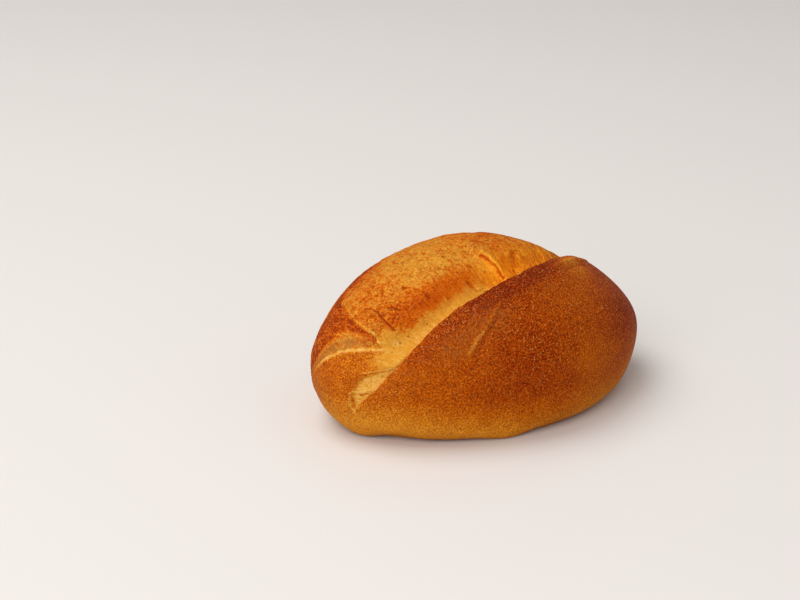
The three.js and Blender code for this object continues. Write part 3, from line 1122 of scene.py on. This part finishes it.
def torn_field(nodes):
    """1 on the torn crumb, 0 on the smooth crust."""
    rough = nodes.wave(*EDGE_ROUGHNESS)
    past_lip = nodes.step(nodes.add(nodes.field("across"), LIP_STRAY, rough), *LIP_EDGE)
    past_ridge = nodes.add(nodes.field("past_ridge"), TONGUE_STRAY, rough)
    fresh = nodes.add(nodes.field("fresh"), FRESH_STRAY, rough)
    smooth = nodes.times(nodes.step(past_ridge, *TONGUE_COLOUR_EDGE), nodes.fall(fresh, *FRESH_EDGE))
    inside = nodes.add(nodes.field("in_far_edge"), FAR_EDGE_BAY_STRAY, nodes.wave(*FAR_EDGE_BAYS))
    inside = nodes.step(nodes.add(inside, FAR_EDGE_STRAY, rough), *FAR_COLOUR_EDGE)
    opened = nodes.times(inside, nodes.maths("SUBTRACT", 1.0, smooth))
    patch = nodes.step(nodes.add(nodes.field("in_patch"), PATCH_STRAY, rough), *PATCH_EDGE)
    return nodes.times(past_lip, nodes.maths("MAXIMUM", opened, patch))


def crust_look(nodes, tone):
    """Colour of the smooth crust with its pale specks, which are partly painted glints, and the height
    of its fine blisters.
    """
    grain, speckle_and_glint = nodes.wave(*CRUST_GRAIN), nodes.field("speckle_and_glint")
    level = nodes.maths("ADD", nodes.field("crust_browning"), tone)
    level = nodes.add(level, CRUST_BLOTCH_TONE, nodes.wave(*CRUST_BLOTCHES))
    level = nodes.add(level, CRUST_STREAK_TONE, nodes.streaks(*CRUST_STREAKS))
    level = nodes.add(level, CRUST_GRAIN_TONE, grain)
    # pale specks: partly blisters, partly painted glints
    distance, random = nodes.cells(*CRUST_DOTS)
    dots = nodes.times(nodes.fall(distance, *DOT_EDGE), nodes.step(random, *DOT_CHANCE))
    specks = nodes.maths("MAXIMUM", dots, thin_worms(nodes, *CRUST_THREADS))
    near_lip = nodes.step(nodes.field("across"), *LIP_SPECK_AND_GLINT_ACROSS)
    speck_and_glint_colour = nodes.mix(near_lip, FAR_SPECK_AND_GLINT_COLOUR, LIP_SPECK_AND_GLINT_COLOUR)
    speck_and_glint_mix = nodes.times(specks, speckle_and_glint, SPECK_AND_GLINT_SHARE)
    colour = nodes.mix(speck_and_glint_mix, nodes.ramp(level, CRUST_COLOURS), speck_and_glint_colour)
    shade = nodes.add(CRUST_SHADE, CRUST_GRAIN_SHADE, nodes.times(grain, speckle_and_glint))
    height = nodes.add(nodes.times(specks, SPECK_BUMP), GRAIN_BUMP, grain)
    return nodes.vectors("SCALE", colour, shade), height


def pore_marks(nodes):
    """1 in the pores, 0 between them."""
    distance, random = nodes.cells(*CRUMB_PORES)
    bar = nodes.add(1.0, -PORE_CHANCE, nodes.field("pores"))
    pores = nodes.step(nodes.maths("SUBTRACT", random, bar), 0.0, PORE_CHANCE_SOFTNESS)
    return nodes.times(pores, nodes.fall(distance, *PORE_EDGE))


def crumb_look(nodes, tone):
    """Colour of the torn crumb, and the height of its lumps, cracks and pores."""
    grainy, streaks = nodes.field("grainy"), nodes.streaks(*CRUMB_STREAKS)
    mottling = nodes.times(nodes.wave(*CRUMB_MOTTLING), grainy)
    grain = nodes.times(nodes.wave(*CRUMB_GRAIN), grainy)
    marks = nodes.times(nodes.fall(nodes.noise(*CRUMB_MARKS), *MARK_EDGE), grainy)
    cracks = nodes.fall(nodes.maths("ABSOLUTE", nodes.wave(*CRACK_LINES)), *CRACK_EDGE)
    cracks = nodes.times(cracks, nodes.step(nodes.noise(*CRACK_AREAS), *CRACK_AREA_EDGE), grainy)
    pores = pore_marks(nodes)
    level = nodes.maths("ADD", nodes.field("crumb_browning"), tone)
    level = nodes.add(level, MOTTLING_TONE, mottling)
    level = nodes.add(level, CRUMB_GRAIN_TONE, grain)
    level = nodes.add(level, CRUMB_STREAK_TONE, streaks)
    level = nodes.add(level, MARK_TONE, marks)
    level = nodes.add(level, CRACK_TONE, cracks)
    plain, glow = nodes.ramp(level, CRUMB_COLOURS), nodes.ramp(level, GLOW_COLOURS)
    colour = nodes.mix(nodes.field("glow"), plain, glow)
    threads = nodes.times(thin_worms(nodes, *CRUMB_THREADS), THREAD_SHARE, grainy)
    colour = nodes.mix(threads, colour, THREAD_COLOUR)
    colour = nodes.vectors("SCALE", colour, nodes.add(1.0, CRUMB_GRAIN_SHADE, grain))
    # painted shade in the pores
    colour = nodes.mix(nodes.times(pores, PORE_DARKNESS), colour, PORE_COLOUR)
    height = nodes.add(nodes.times(mottling, MOTTLING_BUMP), STREAK_BUMP, streaks)
    height = nodes.add(height, MARK_BUMP, marks)
    height = nodes.add(height, CRACK_BUMP, cracks)
    return colour, nodes.add(height, PORE_BUMP, pores)


def crust_material():
    material = bpy.data.materials.new("crust")
    material.use_nodes = True
    nodes = NodeMaker(material)
    shader = material.node_tree.nodes["Principled BSDF"]
    torn = torn_field(nodes)
    tone = stroke_tone(nodes)
    smooth_colour, smooth_height = crust_look(nodes, tone)
    torn_colour, torn_height = crumb_look(nodes, tone)
    colour = with_tan(nodes, nodes.mix(torn, smooth_colour, torn_colour))
    nodes.plug(shader.inputs["Base Color"], with_pale_rims(nodes, colour, tone))
    roughness = nodes.step(torn, 0.0, 1.0, CRUST_ROUGHNESS, CRUMB_ROUGHNESS)
    nodes.plug(shader.inputs["Roughness"], roughness)
    shader.inputs["Specular IOR Level"].default_value = CRUST_SPECULAR
    height = nodes.add(smooth_height, torn, nodes.maths("SUBTRACT", torn_height, smooth_height))
    bump = material.node_tree.nodes.new("ShaderNodeBump")
    nodes.plug(bump.inputs["Height"], height)
    bump.inputs["Distance"].default_value = BUMP_UNIT
    nodes.plug(shader.inputs["Normal"], bump.outputs["Normal"])
    return material


# ---- floor, lights and camera ----------------------------------------------------------------

FLOOR_HALF = 2.0
FLOOR_COLOUR = (0.7, 0.67, 0.64, 1)
FLOOR_ROUGHNESS = 0.6
CAMERA_PLACE = (-0.342, -0.4454, 0.242)
CAMERA_HEADING = 34.9     # degrees from +Y towards +X
CAMERA_PITCH = 20.38      # degrees below level
CAMERA_LENS = 80.5
SENSOR_WIDTH = 36
NEAREST_SEEN = 0.01
LIGHT_AIM = (0, 0, 0.02)
KEY_LIGHT = ("key", (-0.45, 0.4, 1.4), 1.2, 13)  # name, place, size in metres, watts
FILL_LIGHT = ("fill", (-1.2, -0.75, 0.9), 1.2, 16)
SKY_COLOUR = (1, 0.97, 0.94, 1)
SKY_STRENGTH = 0.5


def make_floor():
    mesh = bpy.data.meshes.new("floor")
    corners = [(-1, -1), (1, -1), (1, 1), (-1, 1)]
    mesh.from_pydata([(x * FLOOR_HALF, y * FLOOR_HALF, 0) for x, y in corners], [], [(0, 1, 2, 3)])
    floor = bpy.data.objects.new("floor", mesh)
    bpy.context.collection.objects.link(floor)
    material = bpy.data.materials.new("pale_floor")
    material.use_nodes = True
    shader = material.node_tree.nodes["Principled BSDF"]
    shader.inputs["Base Color"].default_value = FLOOR_COLOUR
    shader.inputs["Roughness"].default_value = FLOOR_ROUGHNESS
    mesh.materials.append(material)
    return floor


def make_area_light(name, place, size, power):
    light = bpy.data.lights.new(name, "AREA")
    light.shape = "DISK"
    light.size = size
    light.energy = power
    holder = bpy.data.objects.new(name, light)
    holder.location = place
    aim = Vector(LIGHT_AIM) - Vector(place)
    holder.rotation_euler = aim.to_track_quat("-Z", "Y").to_euler()
    bpy.context.collection.objects.link(holder)


def make_world():
    world = bpy.data.worlds.new("studio")
    world.use_nodes = True
    background = world.node_tree.nodes["Background"]
    background.inputs["Color"].default_value = SKY_COLOUR
    background.inputs["Strength"].default_value = SKY_STRENGTH
    bpy.context.scene.world = world


def make_camera():
    lens = bpy.data.cameras.new("camera")
    lens.lens = CAMERA_LENS
    lens.sensor_width = SENSOR_WIDTH
    lens.clip_start = NEAREST_SEEN
    camera = bpy.data.objects.new("camera", lens)
    camera.location = CAMERA_PLACE
    turn = Euler((math.radians(90 - CAMERA_PITCH), 0, math.radians(-CAMERA_HEADING)), "XYZ")
    camera.rotation_euler = turn
    bpy.context.collection.objects.link(camera)
    bpy.context.scene.camera = camera


roll = make_roll()
roll.data.materials.append(crust_material())
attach(roll, "root")
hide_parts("roll")
floor = make_floor()
make_world()
make_area_light(*KEY_LIGHT)
make_area_light(*FILL_LIGHT)
make_camera()
bpy.context.scene.view_settings.view_transform = "Standard"
